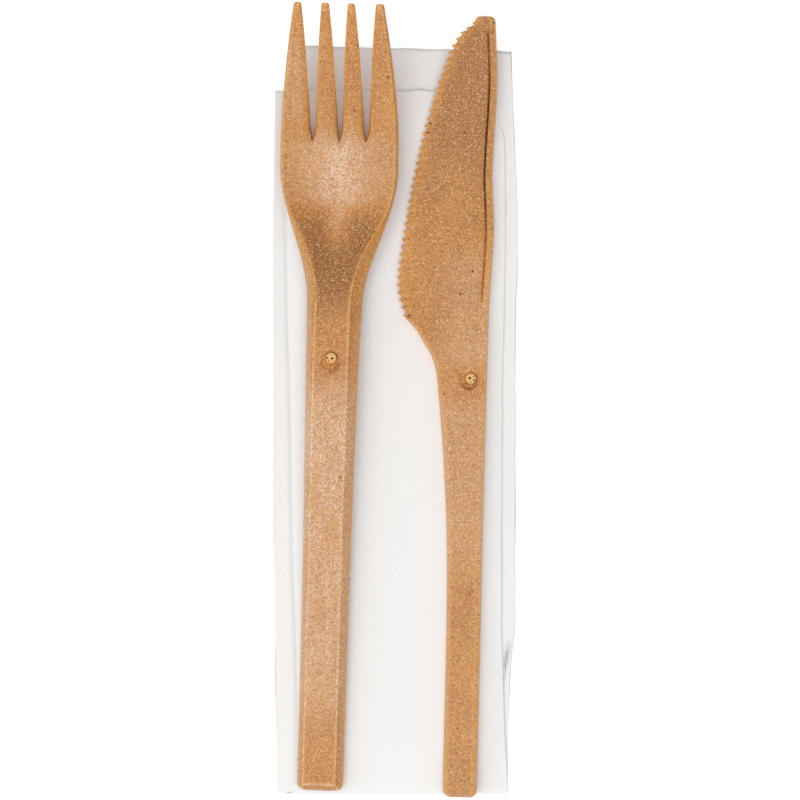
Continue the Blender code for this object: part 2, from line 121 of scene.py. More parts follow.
branLook = {
    "body": "CF8C44",          # the filled plastic itself
    "deep": "C07B38",          # where more bran has gathered
    "paintedShade": "8E582E",         # painted shade: on the fork's neck, in the gate's well and round its stub, in the slots, along the groove and rib; also darker along the knife's blade
    "husk": "8F572A",          # darker grains under the skin
    "glint": "E6B578",         # paler grains
    "fibre": "F2D09C",         # pale wood fibres at the surface
    "frostAndPaintedLight": "F6DAC0",         # hazy flow marks that the melt leaves on the skin, and painted highlights on the ridges and at the top of the gate's well
    "speckAndShade": "46260F",         # burnt bran, and the deepest painted shade, in the groove, the nick and the pits
    "edge": "E9A350",          # thin edges, where light comes through, and the painted highlight on the ridges
    "torn": "F0CB8A",          # the torn stub of the gate
    "cloud": 8.0,              # mm, size of the lighter and darker clouds
    "grain": 0.5,              # mm, size of the mottling
    "haze": 0.45,              # mm, width of the curls in the flow marks
    "fibreLength": 0.8,        # mm, drawn a little coarse so that it shows
    "fibreWidth": 0.26,
    "fibreSpacing": 0.9,
    "speckSize": 0.3,
    "speckSpacing": 4.1,
    "shares": {                # how strongly each covers what lies under it
        "paintedShade": 0.75, "husk": 0.75, "glint": 0.5, "torn": 0.45, "speckAndShade": 0.85,
        "curls": 0.36, "hairs": 0.92,
    },
    "hairSeeds": (31.0, 43.0, 59.0, 71.0),       # one layer of hairs for each
    "relief": 0.05,            # mm, depth of the grain
    "roughness": (0.38, 0.56),
}


def scatteredFibres(tree, place, spacing, length, width, seed):
    # short strokes, one to a cell, each turned its own way and some fainter than others
    cells = addNode(tree, "ShaderNodeVectorMath", {0: place, 1: (seed, seed * 0.7, seed * 0.3)})
    scaled = addNode(tree, "ShaderNodeVectorMath", {0: cells.outputs[0], "Scale": 1 / spacing},
                     operation="SCALE")
    cell = addNode(tree, "ShaderNodeTexVoronoi", {"Vector": scaled.outputs[0], "Scale": 1.0})
    local = addNode(tree, "ShaderNodeVectorMath",
                    {0: scaled.outputs[0], 1: cell.outputs["Position"]}, operation="SUBTRACT")
    lots = addNode(tree, "ShaderNodeSeparateColor", {"Color": cell.outputs["Color"]})
    turn = addNode(tree, "ShaderNodeMath", {0: lots.outputs["Red"], 1: math.tau},
                   operation="MULTIPLY")
    turned = addNode(tree, "ShaderNodeVectorRotate",
                     {"Vector": local.outputs[0], "Angle": turn.outputs[0]},
                     rotation_type="Z_AXIS")
    shape = (2 * spacing / length, 2 * spacing / width, spacing / length)
    stretched = addNode(tree, "ShaderNodeVectorMath", {0: turned.outputs[0], 1: shape},
                        operation="MULTIPLY")
    reach = addNode(tree, "ShaderNodeVectorMath", {0: stretched.outputs[0]}, operation="LENGTH")
    stroke = addNode(tree, "ShaderNodeMapRange",
                     {"Value": reach.outputs["Value"], "From Min": 1.0, "From Max": 0.5})
    force = addNode(tree, "ShaderNodeMapRange", {"Value": lots.outputs["Green"], "To Min": 0.1})
    return addNode(tree, "ShaderNodeMath", {0: stroke.outputs[0], 1: force.outputs[0]},
                   operation="MULTIPLY").outputs[0]


def woodFilledPlastic():
    # injection-moulded polypropylene with ground wood: satin, mottled, strewn with pale fibres
    made, tree = newMaterial("woodFilledPlastic")
    look, shares = branLook, branLook["shares"]
    spot = addNode(tree, "ShaderNodeTexCoord").outputs["Object"]
    place = addNode(tree, "ShaderNodeMapping",
                    {"Vector": spot, "Scale": (1 / mm, 1 / mm, 1 / mm)}).outputs[0]
    cloud = addNode(tree, "ShaderNodeTexNoise",
                    {"Vector": place, "Scale": 1 / look["cloud"], "Detail": 3.0})
    grain = addNode(tree, "ShaderNodeTexNoise",
                    {"Vector": place, "Scale": 1 / look["grain"], "Detail": 3.0,
                     "Roughness": 0.6, "Distortion": 1.2})
    curls = addNode(tree, "ShaderNodeTexNoise",
                    {"Vector": place, "Scale": 1 / look["haze"], "Detail": 4.0,
                     "Roughness": 0.6, "Distortion": 0.8})
    speckAndShade = addNode(tree, "ShaderNodeTexVoronoi",
                    {"Vector": place, "Scale": 1 / look["speckSpacing"]})
    near = look["speckSize"] / look["speckSpacing"]
    # the first carries the flow marks and the painted light and shade, the second the light through
    # thin edges, the painted ridge highlights and the torn stub
    frostAndPaintedLight = addNode(tree, "ShaderNodeAttribute", attribute_name="frostAndPaintedLight").outputs["Fac"]
    edgeLightAndTorn = addNode(tree, "ShaderNodeAttribute", attribute_name="edgeLightAndTorn").outputs["Fac"]

    # how much of a layer shows: none where the value is at the first number, most at the next
    ranges = {
        "deep": (cloud.outputs["Fac"], 0.35, 0.7, 1.0),
        "paintedShade": (frostAndPaintedLight, 0.0, -1.0, shares["paintedShade"]),
        "grains": (grain.outputs["Fac"], 0.5, 0.3, shares["husk"]),
        "glint": (grain.outputs["Fac"], 0.52, 0.7, shares["glint"]),
        "curls": (curls.outputs["Fac"], 0.3, 0.7, shares["curls"]),
        "speckAndShade": (speckAndShade.outputs["Distance"], near, near / 2, 1.0),
        "torn": (edgeLightAndTorn, 1.0, 2.0, shares["torn"]),
        "shade": (frostAndPaintedLight, -1.0, -2.0, shares["speckAndShade"]),
    }
    shown = {}
    for name, (value, none, full, most) in ranges.items():
        shown[name] = addNode(tree, "ShaderNodeMapRange",
                              {"Value": value, "From Min": none, "From Max": full,
                               "To Min": 0.0, "To Max": most}).outputs[0]

    # husks, then pale fibres of two sizes
    spacing, length, width = look["fibreSpacing"], look["fibreLength"], look["fibreWidth"]
    husks = scatteredFibres(tree, place, spacing * 0.9, length * 0.7, width * 1.2, 23.0)
    husks = addNode(tree, "ShaderNodeMath", {0: husks, 1: shares["husk"]},
                    operation="MULTIPLY").outputs[0]
    coarse = scatteredFibres(tree, place, spacing * 1.35, length, width, 3.0)
    fine = scatteredFibres(tree, place, spacing * 0.65, length * 0.6, width * 0.8, 11.0)
    fibres = addNode(tree, "ShaderNodeMath", {0: coarse, 1: fine},
                     operation="MAXIMUM").outputs[0]

    # flow marks: a pale curled haze with hairs in it, thickest where the melt ran fast; the same
    # veil paints the highlights on the ridges and in the gate's well
    hairs = 0.0
    for seed in look["hairSeeds"]:
        layer = scatteredFibres(tree, place, spacing, length * 1.2, width * 0.7, seed)
        hairs = addNode(tree, "ShaderNodeMath", {0: hairs, 1: layer},
                        operation="MAXIMUM").outputs[0]
    haze = addNode(tree, "ShaderNodeMath", {0: hairs, 1: shares["hairs"], 2: shown["curls"]},
                   operation="MULTIPLY_ADD").outputs[0]
    pale = addNode(tree, "ShaderNodeMath", {0: frostAndPaintedLight, 1: 0.0}, operation="MAXIMUM").outputs[0]
    veil = addNode(tree, "ShaderNodeMath", {0: haze, 1: pale}, operation="MULTIPLY").outputs[0]

    # from the body up, painted shade second; the last is the deepest painted shade, in the groove,
    # the nick and the pits, where no light reaches
    layers = [("deep", shown["deep"]), ("paintedShade", shown["paintedShade"]), ("edge", edgeLightAndTorn),
              ("husk", shown["grains"]), ("glint", shown["glint"]), ("husk", husks),
              ("fibre", fibres), ("frostAndPaintedLight", veil), ("speckAndShade", shown["speckAndShade"]),
              ("torn", shown["torn"]), ("speckAndShade", shown["shade"])]
    colour = linear(look["body"])
    for over, share in layers:
        colour = addNode(tree, "ShaderNodeMix",
                         {"Factor": share, "A": colour, "B": linear(look[over])},
                         data_type="RGBA").outputs["Result"]
    relief = addNode(tree, "ShaderNodeMath",
                     {0: grain.outputs["Fac"], 1: fibres}, operation="ADD")
    bump = addNode(tree, "ShaderNodeBump",
                   {"Height": relief.outputs[0], "Strength": 0.8,
                    "Distance": look["relief"] * mm})
    smoothest, roughest = look["roughness"]
    rough = addNode(tree, "ShaderNodeMapRange",
                    {"Value": grain.outputs["Fac"], "To Min": smoothest, "To Max": roughest})
    shader = addNode(tree, "ShaderNodeBsdfPrincipled",
                     {"Base Color": colour, "Roughness": rough.outputs[0],
                      "Normal": bump.outputs[0], "IOR": 1.49, "Metallic": 0.0})
    addNode(tree, "ShaderNodeOutputMaterial", {"Surface": shader.outputs[0]})
    return made


tissueLook = {
    "paper": "F8F8F7",
    "shadow": "F5F5F4",
    "creaseShade": "A6A8A8",        # painted shade in the sharpest creases and in the torn slit
    "crepe": 0.45,             # mm between the ridges left by the creping blade
    "fibre": 0.9,              # mm, length of the loose fibres
    "relief": 0.05,            # mm, height of both
}


def tissuePaper():
    # soft two-ply tissue, creped: quite matt, with fine cross ridges
    made, tree = newMaterial("tissuePaper")
    look = tissueLook
    spot = addNode(tree, "ShaderNodeTexCoord").outputs["Object"]
    place = addNode(tree, "ShaderNodeMapping",
                    {"Vector": spot, "Scale": (1 / mm, 1 / mm, 1 / mm)}).outputs[0]
    along = addNode(tree, "ShaderNodeMapping",
                    {"Vector": place, "Scale": (0.25, 1.0, 1.0)}).outputs[0]
    crepe = addNode(tree, "ShaderNodeTexNoise",
                    {"Vector": along, "Scale": 1 / look["crepe"], "Detail": 2.0})
    fluff = addNode(tree, "ShaderNodeTexNoise",
                    {"Vector": place, "Scale": 1 / look["fibre"], "Detail": 4.0,
                     "Distortion": 0.8})
    tint = addNode(tree, "ShaderNodeMapRange",
                   {"Value": fluff.outputs["Fac"], "From Min": 0.35, "From Max": 0.65})
    colour = addNode(tree, "ShaderNodeMix",
                     {"Factor": tint.outputs[0], "A": linear(look["shadow"]),
                      "B": linear(look["paper"])}, data_type="RGBA")
    # painted shade in the creases
    creaseShade = addNode(tree, "ShaderNodeAttribute", attribute_name="creaseShade").outputs["Fac"]
    creaseShading = addNode(tree, "ShaderNodeMix",
                      {"Factor": creaseShade, "A": colour.outputs["Result"],
                       "B": linear(look["creaseShade"])}, data_type="RGBA")
    relief = addNode(tree, "ShaderNodeMath",
                     {0: crepe.outputs["Fac"], 1: fluff.outputs["Fac"]}, operation="ADD")
    bump = addNode(tree, "ShaderNodeBump",
                   {"Height": relief.outputs[0], "Strength": 0.12,
                    "Distance": look["relief"] * mm})
    shader = addNode(tree, "ShaderNodeBsdfPrincipled",
                     {"Base Color": creaseShading.outputs["Result"], "Roughness": 0.9,
                      "Normal": bump.outputs[0], "IOR": 1.47, "Metallic": 0.0})
    addNode(tree, "ShaderNodeOutputMaterial", {"Surface": shader.outputs[0]})
    return made


# Making a moulding: a grid shaped from above, then a second skin below it

def pieceFrom(shape, name):
    mesh = bpy.data.meshes.new(name)
    shape.to_mesh(mesh)
    shape.free()
    made = bpy.data.objects.new(name, mesh)
    bpy.context.collection.objects.link(made)
    return made


def mouldedShell(name, columns, rows, place, haze, slots=(), rootRow=0):
    # place gives each point its spot, its edge tint (light through thin edges, a painted highlight
    # on the ridges, over 1 the torn stub), and the painted light and shade to add;
    # haze gives the rest by place: over 0 pale flow marks, to -1 painted shade, to -2 the deepest
    # painted shade
    shape = bmesh.new()
    colMark = shape.verts.layers.int.new("col")
    rowMark = shape.verts.layers.int.new("row")
    sideMark = shape.verts.layers.int.new("side")
    edgeLightAndTorn = shape.verts.layers.float.new("edgeLightAndTorn")
    frostAndPaintedLight = shape.verts.layers.float.new("frostAndPaintedLight")
    bmesh.ops.create_grid(shape, x_segments=columns, y_segments=rows, size=1.0)
    for vert in shape.verts:
        vert[colMark] = round((vert.co.x + 1.0) / 2 * columns)
        vert[rowMark] = round((vert.co.y + 1.0) / 2 * rows)
    seams = [edge for edge in shape.edges
             if edge.verts[0][colMark] == edge.verts[1][colMark]
             and edge.verts[0][colMark] in slots
             and min(vert[rowMark] for vert in edge.verts) >= rootRow]
    if seams:
        bmesh.ops.split_edges(shape, edges=seams)
    for vert in shape.verts:
        if vert[colMark] in slots and vert[rowMark] > rootRow:
            middle = sum(face.calc_center_median().x for face in vert.link_faces)
            middle /= len(vert.link_faces)
            vert[sideMark] = 1 if middle > vert.co.x else -1
    grown = bmesh.ops.extrude_face_region(shape, geom=shape.faces[:], use_keep_orig=True)
    inner = {item for item in grown["geom"] if isinstance(item, bmesh.types.BMVert)}
    for vert in shape.verts:
        spot, rim, sheen = place(vert[rowMark], vert[colMark], vert[sideMark], vert in inner)
        vert.co = spot
        vert[edgeLightAndTorn] = rim
        vert[frostAndPaintedLight] = haze(spot.x / mm, spot.y / mm) + sheen
    bmesh.ops.recalc_face_normals(shape, faces=shape.faces[:])
    return pieceFrom(shape, name)


def cutAway(piece, cutter):
    modifier = piece.modifiers.new("cut", "BOOLEAN")
    modifier.operation = "DIFFERENCE"
    modifier.solver = "EXACT"
    modifier.object = cutter
    ready = piece.evaluated_get(bpy.context.evaluated_depsgraph_get())
    cutMesh = bpy.data.meshes.new_from_object(ready)
    piece.modifiers.clear()
    old = piece.data
    piece.data = cutMesh
    bpy.data.meshes.remove(old)
    bpy.data.objects.remove(cutter, do_unlink=True)


gateSizes = {
    # mm; the well is longer than wide by the share taller
    "well": 1.98, "taller": 0.24, "stub": 1.1, "depth": 0.9, "sunk": 0.05,
    # shares of the well's radius and depth, down its side
    "wellSide": [(0.95, 0.27), (0.87, 0.54), (0.75, 0.82)],
    # share of the stub's radius and mm below its rim, in to its middle
    "stubEnd": [(0.9, 0.0), (0.6, 0.04), (0.35, 0.14), (0.0, 0.1)],
    # across, up and radius
    "pits": [(-0.8, 0.0, 0.22), (0.26, -0.06, 0.26), (-0.3, 0.72, 0.1), (-0.42, -0.66, 0.13)],
    # painted highlight above and painted shade below in the well, painted shade round the stub and
    # in the pits, and the stub's paleness
    "paintedHighlight": 0.5, "shaded": -1.2, "moat": -0.8, "dark": -2.0, "torn": 2.0,
}


def darken(piece, spot, reach, height, shade):
    # paints shade on what lies deep near a spot
    frostAndPaintedLight = piece.data.attributes["frostAndPaintedLight"]
    for vert in piece.data.vertices:
        if (vert.co.xy / mm - spot).length < reach and 0.0 < vert.co.z / mm < height:
            frostAndPaintedLight.data[vert.index].value = shade


def cutGate(piece, x, y, face, lean, turn):
    # the dished well of the moulding gate, with the torn stub left standing off its middle
    well, stub = gateSizes["well"], gateSizes["stub"]
    depth, sunk = gateSizes["depth"], gateSizes["sunk"]
    profile = [(0.0, well), (well * 1.1, well), (well * 1.1, 0.1), (well, -0.04)]
    profile += [(well * out, -depth * down) for out, down in gateSizes["wellSide"]]
    profile += [(stub * 1.1, -depth), (stub * 1.03, -depth * 0.9), (stub, -sunk - 0.1)]
    profile += [(stub * out, -sunk - down) for out, down in gateSizes["stubEnd"]]
    shape = bmesh.new()
    verts = [shape.verts.new((r * mm, 0.0, z * mm)) for r, z in profile]
    edges = [shape.edges.new(pair) for pair in zip(verts, verts[1:])]
    bmesh.ops.spin(shape, geom=verts + edges, axis=(0, 0, 1), cent=(0, 0, 0),
                   angle=math.tau, steps=40, use_merge=True)
    bmesh.ops.remove_doubles(shape, verts=shape.verts, dist=0.001 * mm)
    bmesh.ops.recalc_face_normals(shape, faces=shape.faces[:])
    for vert in shape.verts:
        share = ease(stub * 1.1, well - stub * 1.1, vert.co.xy.length / mm)
        vert.co.y *= 1.0 + gateSizes["taller"] * share
        vert.co += Vector((x + lean[0] * share, y + lean[1] * share, face)) * mm
    cutAway(piece, pieceFrom(shape, "gate"))
    # pits where the sprue tore off
    for across, up, radius in gateSizes["pits"]:
        shape = bmesh.new()
        place = Vector((across, up, -sunk - radius))
        place.rotate(Matrix.Rotation(turn, 3, "Z"))
        spot = Matrix.Translation((place + Vector((x, y, face))) * mm)
        stretch = Matrix.Diagonal((1.0, 1.0, 2.8, 1.0))
        bmesh.ops.create_icosphere(shape, subdivisions=2, radius=radius * mm,
                                   matrix=spot @ stretch)
        cutAway(piece, pieceFrom(shape, "pit"))
    # the torn end is pale, the well has a painted highlight above and painted shade below, and
    # painted shade lies round the stub and in the pits
    edgeLightAndTorn, frostAndPaintedLight = piece.data.attributes["edgeLightAndTorn"], piece.data.attributes["frostAndPaintedLight"]
    for vert in piece.data.vertices:
        away = math.hypot(vert.co.x / mm - x - lean[0] / 2, vert.co.y / mm - y - lean[1] / 2)
        drop = face - vert.co.z / mm
        if away < well * 1.2 and 0.02 < drop < depth * 1.1:
            below = ease(0.2, 0.9, (y - vert.co.y / mm) / well) * ease(0.6, 0.3, away / well)
            frostAndPaintedLight.data[vert.index].value = mix(gateSizes["paintedHighlight"], gateSizes["shaded"], below)
        away = math.hypot(vert.co.x / mm - x, vert.co.y / mm - y)
        if away < stub * 1.02 and drop < depth * 0.5:
            edgeLightAndTorn.data[vert.index].value = gateSizes["torn"]
            frostAndPaintedLight.data[vert.index].value = 0.0
        elif away < stub * 1.15 and 0.5 < drop / depth < 1.1:
            frostAndPaintedLight.data[vert.index].value = gateSizes["moat"]
    for across, up, radius in gateSizes["pits"]:
        place = Vector((across, up, 0.0))
        place.rotate(Matrix.Rotation(turn, 3, "Z"))
        darken(piece, Vector((x, y)) + place.xy, radius * 0.9, face - sunk - 0.12,
               gateSizes["dark"])


def layDown(piece, node, turn, roll):
    # turn the mesh itself, then move it onto the place of the solid that it stands for
    low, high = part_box(node)
    piece.data.transform(Matrix.Rotation(turn, 4, "Z") @ Matrix.Rotation(roll, 4, "Y"))
    spots = [vert.co for vert in piece.data.vertices]
    mine = [(min(s[i] for s in spots), max(s[i] for s in spots)) for i in range(3)]
    move = Vector((
        (low[0] + high[0] - mine[0][0] - mine[0][1]) / 2,
        (low[1] + high[1] - mine[1][0] - mine[1][1]) / 2,
        low[2] - mine[2][0],
    ))
    piece.data.transform(Matrix.Translation(move))


def finishMoulding(piece, node, material, edge):
    # edges sharper than an angle eased as a mould leaves them, then all shaded smooth
    rounded = piece.modifiers.new("edges", "BEVEL")
    rounded.width = edge * mm
    rounded.segments = 2
    rounded.limit_method = "ANGLE"
    rounded.angle_limit = math.radians(38)
    rounded.use_clamp_overlap = True
    piece.data.materials.clear()
    piece.data.materials.append(material)
    piece.data.shade_smooth()
    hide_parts(node)
    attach(piece, "root")


# Fork, in mm from the end of its handle

forkSizes = {
    "handle": 102.0, "swell": 28.5, "plate": 5.3, "tines": 28.6,
    "endWidth": 9.7, "neckWidth": 11.6, "headWidth": 24.85, "tipsWidth": 18.85,
    "endCorner": 1.5, "ridge": 0.4,
    "flankEnd": 1.35, "flankNeck": 2.1, "flankHead": 0.35,
    "wall": 1.7, "tipWall": 1.2, "endHeight": 3.0, "neckHeight": 4.2,
    "endLift": 0.3, "neckLift": 3.4, "rimLow": 4.9, "rimRoots": 5.4, "tipHeight": 14.0,
    "crest": 88.0, "crestDrop": 0.6,
    "dish": 3.0, "dishRoots": 1.5, "dishTips": 0.2, "endLand": 0.5,
    "slotPitch": 5.65, "slotWaists": (1.85, 1.65, 1.85), "slotMouths": (4.3, 4.0, 4.5),
    "slotRoot": 3.8, "slotsLeft": 0.08, "slotSlope": 0.4, "slotDrop": 0.55, "slotEase": 0.1,
    "neckSway": 0.25,
    "tineRound": 0.35, "tineDraft": 0.55, "tineSlope": 0.4,
    "gate": 90.7, "gateRight": 0.1, "gateLean": (-0.1, -0.65), "turn": -1.9, "roll": -5.5,
}

forkHaze = {
    # how strong the flow marks are in each part, and for the neck, which faces away from the lamp,
    # how dark its painted shade is
    "streaks": 0.7, "grip": 0.75, "gripPatch": 0.25, "leftFlank": 0.4, "leftTine": 0.35,
    "bowlWide": 0.6, "bowlMiddle": 0.7, "bowlTail": 0.8, "neck": 0.95,
}


def buildFork(material):
    size = forkSizes
    handle, swell, wall = size["handle"], size["swell"], size["wall"]
    bowl = handle + swell * 0.74
    roots = handle + swell + size["plate"]
    length = roots + size["tines"]
    endRim = size["endLift"] + size["endHeight"]
    neckRim = size["neckLift"] + size["neckHeight"]
    rimAt = curveThrough([(0.0, endRim), (size["crest"] * 0.5, mix(endRim, neckRim, 0.5)),
                          (size["crest"], neckRim), (handle, neckRim - size["crestDrop"]),
                          (bowl, size["rimLow"]), (roots, size["rimRoots"]),
                          (length, size["tipHeight"])])
    dishAt = curveThrough([(size["gate"] + 1.5, 0.0), (handle, size["dish"] * 0.14),
                           (bowl - swell * 0.1, size["dish"]),
                           (bowl + swell * 0.1, size["dish"]), (roots, size["dishRoots"]),
                           (length, size["dishTips"])])
    depthAt = curveThrough([(0.0, size["endHeight"]), (handle, size["neckHeight"]),
                            (bowl, wall), (roots, wall), (length, size["tipWall"])])
    swayAt = curveThrough([(0.0, 0.0), (handle - 2.0, 0.0),
                           (handle + swell * 0.6, size["neckSway"]),
                           (roots, 0.0), (length, -size["neckSway"] * 0.4)])

    def halfWidth(at):
        if at <= handle:
            width = mix(size["endWidth"], size["neckWidth"], (at / handle) ** 2.4)
        elif at <= roots:
            width = mix(size["neckWidth"], size["headWidth"], ease(handle, swell, at))
        else:
            share = ((at - roots) / size["tines"]) ** 1.6
            width = mix(size["headWidth"], size["tipsWidth"], share)
        rounded = roundOff(at, size["endCorner"]) + roundOff(length - at, size["tineRound"])
        return width / 2 - rounded

    def slotHalf(at, waist, mouth):
        run = max(at - roots, 0.0)
        if run <= size["slotRoot"]:
            return waist / 2 * math.sin(math.pi / 2 * run / size["slotRoot"])
        share = (run - size["slotRoot"]) / (size["tines"] - size["slotRoot"])
        opened = mix(waist, mouth, share ** 2)
        return opened / 2 + roundOff(length - at, size["tineRound"])

    # places along the fork, closer together where it turns
    places = spaced(0.0, size["flankEnd"], 8)
    places += spaced(size["flankEnd"], 2 * wall, 5)[1:]
    places += spaced(2 * wall, handle - swell * 0.15, 60)[1:]
    places += spaced(handle - swell * 0.15, roots, 44)[1:]
    rootRow = len(places) - 1
    places += spaced(roots, roots + size["slotRoot"], 10)[1:]
    places += spaced(roots + size["slotRoot"], length - size["tineRound"], 24)[1:]
    places += [length - size["tineRound"] * (1 - math.sin(math.radians(a)))
               for a in (18, 36, 54, 72, 90)]

    flankCells = 3                   # on each side: the slope and its rounded ridge
    tineCells = 8
    columns = 2 * flankCells + 4 * tineCells
    slots = [flankCells + tineCells * i for i in (1, 2, 3)]
    ridgeAtRoots = halfWidth(roots) - size["flankHead"]

    def place(row, col, side, inner):
        at = places[row]
        half = halfWidth(at)
        flank = mix(size["flankEnd"], size["flankNeck"], min(at / handle, 1.0) ** 2.4)
        flank = mix(flank, size["flankHead"], ease(handle + swell * 0.3, swell * 0.5, at))
        depth, rim = depthAt(at), rimAt(at)
        under = mix(wall, size["tipWall"], max(at - roots, 0.0) / size["tines"])
        foot = rim - depth
        hollow = ease(wall, wall, at) * max(depth - under, 0.0)
        if at < size["flankEnd"]:                 # the end wall slopes like a flank
            depth = mix(size["endLand"], depth, at / size["flankEnd"])
            flank *= depth / size["endHeight"]
            rim = foot + depth
        ridgeRound = size["ridge"]
        gaps = [slotHalf(at, *pair) for pair in zip(size["slotWaists"], size["slotMouths"])]
        inset = wall * 0.75
        if at > roots:                            # an outer tine has little room at its tip
            room = half - size["slotPitch"] - max(gaps)
            flank = min(flank, room * 0.25)
            ridgeRound = min(ridgeRound, room * 0.25)
            inset = min(inset, room * 0.35)
        ridge = half - flank
        dish = dishAt(at)

        def top(u):
            return rim - dish * (1.0 - (u / ridge) ** 2)

        def ceiling(u):
            # the underside of the wall, kept between the foot and the hollow's height
            level = top(u) - under
            return max(min(level, foot + hollow), foot) if at < handle / 2 else level

        mirrored = -1.0 if col < columns / 2 else 1.0
        out = min(col, columns - col)             # cells in from the nearer long edge
        edgeLightAndTorn, sheen, sway = 0.0, 0.0, swayAt(at)
        if out < flankCells:
            if not inner:
                slope = Vector((flank, -depth)).normalized() * ridgeRound
                u, z = [(half, foot),
                        (ridge + slope.x, rim + slope.y),
                        (ridge + 0.3 * (slope.x - ridgeRound), rim + 0.3 * slope.y)][out]
                # the foot's edge lets light through; on the ridge the tint and the painted light
                # make a painted highlight
                edgeLightAndTorn = [0.9, 0.0, 0.7][out] if at < handle else [0.9, 0.4, 0.8][out]
                sheen = [0.0, 0.0, 1.0][out] if at < handle + 6.0 else 0.0
            else:
                roof = ridge - inset
                lip = roof + flank * max(hollow / depth, 0.03)
                u = mix(lip, roof, out / flankCells)
                z = mix(foot, ceiling(roof), (out / flankCells) ** 0.7)
            return Vector((mirrored * u + sway, at, z)) * mm, edgeLightAndTorn, sheen
        inward = col - flankCells
        tine = min(inward // tineCells, 3)
        if col in slots and side < 0:
            tine = inward // tineCells - 1
        cell = inward - tine * tineCells
        edges = [-(ridge - ridgeRound)]
        narrowed = ridge / ridgeAtRoots if at < roots else 1.0
        edges += [((i - 1) * size["slotPitch"] - size["slotsLeft"]) * narrowed for i in range(3)]
        edges += [ridge - ridgeRound]
        left = edges[tine] + (gaps[tine - 1] if tine > 0 else 0.0)
        right = edges[tine + 1] - (gaps[tine] if tine < 3 else 0.0)
        span = right - left
        draft, slopeRun = min(size["tineDraft"], span * 0.3), min(size["tineSlope"], span * 0.2)
        middle = tineCells - 4
        runs = [0.0, slopeRun] + spaced(draft, span - draft, middle) + [span - slopeRun, span]
        u = left + runs[cell]
        z = top(u)
        sloped = ease(roots - 0.4, 1.6, at)
        fromSlot = cell if tine > 0 else tineCells
        toSlot = tineCells - cell if tine < 3 else tineCells
        near = min(fromSlot, toSlot)
        if inner:                                 # a slot's walls slope in below, most by its root, where they get painted shade
            roof = ridge - inset
            u = max(min(u, roof), -roof)
            if near == 0:
                fade = 1.0 - ease(roots + 2.0, 12.0, at)
                gap = gaps[tine - 1] if cell == 0 else gaps[tine]
                slope = min(size["slotSlope"], 0.7 * gap) * fade
                u += -slope if cell == 0 else slope
                sheen = -1.3 * fade * sloped
            return Vector((u + sway, at, ceiling(u))) * mm, 0.0, sheen
        if near == 0:
            z -= size["slotDrop"] * sloped
            edgeLightAndTorn = sloped
        elif near == 1:
            z -= size["slotEase"] * sloped
            edgeLightAndTorn = 0.8 * sloped
        if out == flankCells:
            edgeLightAndTorn = max(edgeLightAndTorn, 0.25)
        if abs(at - size["flankEnd"]) < 0.3:      # the ridge across the handle's end, with a painted highlight
            edgeLightAndTorn, sheen = 0.6, 1.0
        edgeLightAndTorn = max(edgeLightAndTorn, 0.9 * ease(length - 2.6, 2.0, at))
        return Vector((u + sway, at, z)) * mm, edgeLightAndTorn, sheen

    def haze(u, at):
        # the grip and the middle of the bowl are hazy, in streaks; the neck is painted in shade, as
        # it faces away from the lamp
        marks = forkHaze
        streaks = 1.0 + marks["streaks"] * noise.noise(Vector((u * 0.6, at * 0.12, 0.0)))
        grip = marks["grip"] * ease(6.0, 22.0, at) * (1.0 - ease(80.0, 10.0, at)) * streaks
        grip += marks["gripPatch"] * math.exp(-((at - 74.0) / 8.0) ** 2)
        grip *= 1.0 - 0.8 * ease(3.6, 0.8, u)         # hardly any on the right flank
        wide, middle = math.exp(-((u - 1.0) / 11.0) ** 2), math.exp(-((u + 0.5) / 4.5) ** 2)
        bowlHaze = marks["bowlWide"] * wide + marks["bowlMiddle"] * middle * streaks ** 2
        bowlHaze *= ease(bowl - 4.0, 7.0, at) * (1.0 - ease(roots - 2.5, 7.0, at))
        tail = math.exp(-((u + 0.3) / 2.2) ** 2) * ease(bowl - 13.0, 10.0, at)
        tailHaze = marks["bowlTail"] * tail * streaks * (1.0 - ease(roots - 2.5, 5.0, at))
        bowlHaze = max(bowlHaze, tailHaze)
        side = marks["leftFlank"] * ease(3.6, 1.0, -u) * (1.0 - ease(handle - 4.0, 14.0, at))
        tine = marks["leftTine"] * ease(7.0, 2.0, -u)
        tine *= ease(roots, 8.0, at) * (1.0 - ease(length - 12.0, 8.0, at))
        # painted shade on the neck
        neck = marks["neck"] * ease(95.0, 12.0, at) * (1.0 - ease(bowl - 6.0, 9.0, at))
        neck *= (1.0 - side) * (1.0 - 0.8 * tail) * math.exp(-(u / 9.0) ** 4)
        return max(grip, bowlHaze, side, tine) - neck

    fork = mouldedShell("fork_moulding", columns, len(places) - 1, place, haze, slots, rootRow)
    cutGate(fork, size["gateRight"], size["gate"], rimAt(size["gate"]), size["gateLean"], 0.0)
    layDown(fork, "fork", math.radians(size["turn"]), math.radians(size["roll"]))
    finishMoulding(fork, "fork", material, 0.12)


# Knife, in mm from the end of its handle and from the line up the handle's middle

knifeSizes = {
    "handle": 100.7, "blade": 63.3, "endWidth": 7.2, "waist": 10.6, "heel": 15.4,
    "belly": 17.1, "back": 2.7, "notch": 0.6, "tip": 4.2, "tipRound": 1.0, "endCorner": 1.5,
    "flankLeft": 0.75, "flankRight": 0.5, "height": 2.8, "wall": 1.5, "face": 1.4,
    "ramp": 16.0, "edge": 0.8, "bevel": 1.3, "rib": 1.4, "ribRise": 0.5, "ribStep": 0.25,
    "groove": 0.35, "grooveDepth": 0.35, "toothPitch": 1.6, "toothDepth": 0.85,
    "nick": (1.7, 0.35, 1.6), "nickTurn": 38.0,
    "gate": 87.9, "gateLeft": 0.75, "gateLean": (-0.35, 0.0), "gateTurn": 160.0, "turn": -2.0,
}

